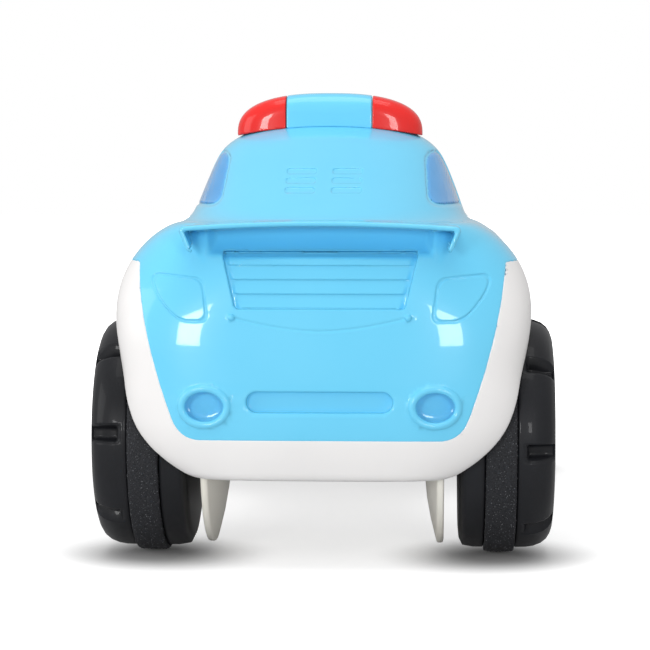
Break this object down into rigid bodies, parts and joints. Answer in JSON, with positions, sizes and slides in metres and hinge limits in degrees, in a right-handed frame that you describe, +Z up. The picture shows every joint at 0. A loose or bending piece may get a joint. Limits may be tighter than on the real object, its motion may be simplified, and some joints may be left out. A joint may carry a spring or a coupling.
{
  "type": "musical toy car",
  "caption": "Musical ride-on toy car with a light blue shell, white chassis, black wheels with grip bands, steered front wheels and a light bar with red lenses.",
  "frame": {"origin": "on the ground under the middle of the car", "axes": "+Y forward, +X to the car's right, +Z up"},
  "size_m": [0.3, 0.6, 0.308],
  "materials": {
    "blue_shell": "glossy moulded",
    "white_shell": "satin moulded",
    "red_lens": "glossy moulded",
    "black_wheel": "fine grained",
    "grip_rubber": "granular",
    "steel": "plated",
    "yellow_key": "glossy moulded",
    "board": "bare board"
  },
  "bodies": {
    "car_body": {"chassis": "white_shell", "body_shell": "blue_shell", "light_bar_housing": "blue_shell", "left_beacon_lens": "red_lens", "right_beacon_lens": "red_lens", "rear_axle": "steel", "rear_left_push_nut": "steel", "rear_right_push_nut": "steel", "seat_hinge_pin": "steel", "column_bush": "white_shell"},
    "seat": {"seat_lid": "white_shell"},
    "steering": {"steering_column": "steel", "steering_wheel": "white_shell", "music_cover": "blue_shell", "circuit_board": "board", "speaker": "black_wheel", "battery_left": "steel", "battery_right": "steel", "battery_door": "white_shell"},
    "horn_key": {"horn_button": "red_lens"},
    "melody_left_key": {"melody_button_left": "yellow_key"},
    "melody_right_key": {"melody_button_right": "yellow_key"},
    "switch_slider": {"power_switch": "black_wheel"},
    "left_steer": {"left_knuckle": "steel", "front_left_push_nut": "steel"},
    "right_steer": {"right_knuckle": "steel", "front_right_push_nut": "steel"},
    "track_link": {"tie_rod": "steel"},
    "rear_left_roller": {"rear_left_wheel": "black_wheel", "rear_left_band": "grip_rubber", "rear_left_hub_cap": "white_shell"},
    "rear_right_roller": {"rear_right_wheel": "black_wheel", "rear_right_band": "grip_rubber", "rear_right_hub_cap": "white_shell"},
    "front_left_roller": {"front_left_wheel": "black_wheel", "front_left_band": "grip_rubber", "front_left_hub_cap": "white_shell"},
    "front_right_roller": {"front_right_wheel": "black_wheel", "front_right_band": "grip_rubber", "front_right_hub_cap": "white_shell"}
  },
  "joints": [
    {"name": "rear_left_spin", "type": "hinge", "parent": "car_body", "child": "rear_left_roller", "pos_m": [-0.119, -0.195, 0.08], "axis": [1, 0, 0], "continuous": true},
    {"name": "rear_right_spin", "type": "hinge", "parent": "car_body", "child": "rear_right_roller", "pos_m": [0.119, -0.195, 0.08], "axis": [1, 0, 0], "continuous": true},
    {"name": "steer", "type": "hinge", "parent": "car_body", "child": "steering", "pos_m": [0, 0.115, 0.262], "axis": [0, -0.3156, 0.9489], "range_deg": [-30, 30]},
    {"name": "left_kingpin", "type": "hinge", "parent": "car_body", "child": "left_steer", "pos_m": [-0.078, 0.18, 0.08], "axis": [0, 0, 1], "range_deg": [-20.1, 20.1]},
    {"name": "right_kingpin", "type": "hinge", "parent": "car_body", "child": "right_steer", "pos_m": [0.078, 0.18, 0.08], "axis": [0, 0, 1], "range_deg": [-20.1, 20.1]},
    {"name": "link_pin", "type": "hinge", "parent": "left_steer", "child": "track_link", "pos_m": [-0.078, 0.15, 0.0345], "axis": [0, 0, 1], "range_deg": [-20.1, 20.1]},
    {"name": "front_left_spin", "type": "hinge", "parent": "left_steer", "child": "front_left_roller", "pos_m": [-0.119, 0.18, 0.08], "axis": [1, 0, 0], "continuous": true},
    {"name": "front_right_spin", "type": "hinge", "parent": "right_steer", "child": "front_right_roller", "pos_m": [0.119, 0.18, 0.08], "axis": [1, 0, 0], "continuous": true},
    {"name": "seat_hinge", "type": "hinge", "parent": "car_body", "child": "seat", "pos_m": [0, -0.1058, 0.20835], "axis": [1, 0, 0], "range_deg": [0, 80]},
    {"name": "horn_press", "type": "slide", "parent": "steering", "child": "horn_key", "axis": [0, 0.3156, -0.9489], "range_m": [0, 0.002], "stiffness_N_per_m": 400},
    {"name": "melody_left_press", "type": "slide", "parent": "steering", "child": "melody_left_key", "axis": [0, 0.3156, -0.9489], "range_m": [0, 0.002], "stiffness_N_per_m": 400},
    {"name": "melody_right_press", "type": "slide", "parent": "steering", "child": "melody_right_key", "axis": [0, 0.3156, -0.9489], "range_m": [0, 0.002], "stiffness_N_per_m": 400},
    {"name": "switch_slide", "type": "slide", "parent": "steering", "child": "switch_slider", "axis": [1, 0, 0], "range_m": [0, 0.003]}
  ],
  "couplings": [
    {"joint": "left_kingpin", "follows": "steer", "ratio": 0.66667},
    {"joint": "right_kingpin", "follows": "steer", "ratio": 0.66667},
    {"joint": "link_pin", "follows": "steer", "ratio": -0.66667}
  ]
}
